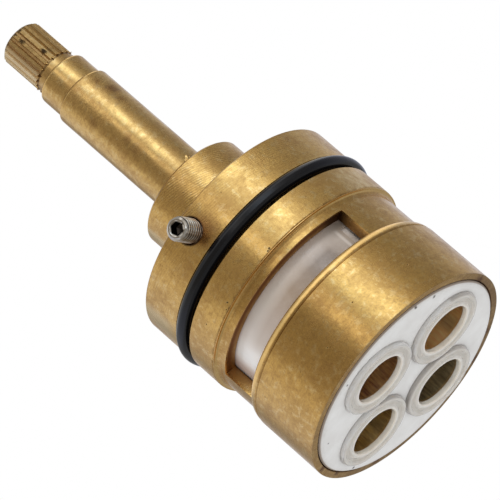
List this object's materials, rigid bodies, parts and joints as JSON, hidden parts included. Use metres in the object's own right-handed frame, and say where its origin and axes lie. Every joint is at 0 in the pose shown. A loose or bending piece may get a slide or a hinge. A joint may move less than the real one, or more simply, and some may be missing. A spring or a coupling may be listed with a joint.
{
  "type": "shower diverter cartridge",
  "caption": "Brass diverter cartridge: a splined spindle turns a slotted plastic drum and a ceramic disc over round base ports with dished silicone seals.",
  "frame": {"origin": "centre of the skirt's lower rim, on the spindle's axis", "axes": "+Z along the spindle towards its splined tip; the four ports lie on +X, +Y, -X and -Y; the stop screw stands out close to -Y"},
  "size_m": [0.0412, 0.0449, 0.0907],
  "materials": {
    "brass": "turned, slightly tarnished",
    "white_plastic": "moulded",
    "natural_plastic": "moulded",
    "silicone": "translucent, soft",
    "black_rubber": "greased",
    "ceramic": "lapped",
    "steel": "bright"
  },
  "bodies": {
    "housing": {"cage": "brass", "seal_plate": "white_plastic", "port_seal_1": "silicone", "port_seal_2": "silicone", "port_seal_3": "silicone", "port_seal_4": "silicone", "disc_gasket": "black_rubber", "fixed_disc": "ceramic", "bonnet": "brass", "bonnet_oring": "black_rubber", "thrust_washer": "natural_plastic", "stop_screw": "steel"},
    "spindle_group": {"spindle": "brass", "spindle_oring_lower": "black_rubber", "spindle_oring_upper": "black_rubber", "rotor": "natural_plastic", "moving_disc": "ceramic"}
  },
  "joints": [
    {"name": "spindle_turn", "type": "hinge", "parent": "housing", "child": "spindle_group", "pos_m": [0, 0, 0.06], "axis": [0, 0, 1], "range_deg": [-90, 180]}
  ]
}
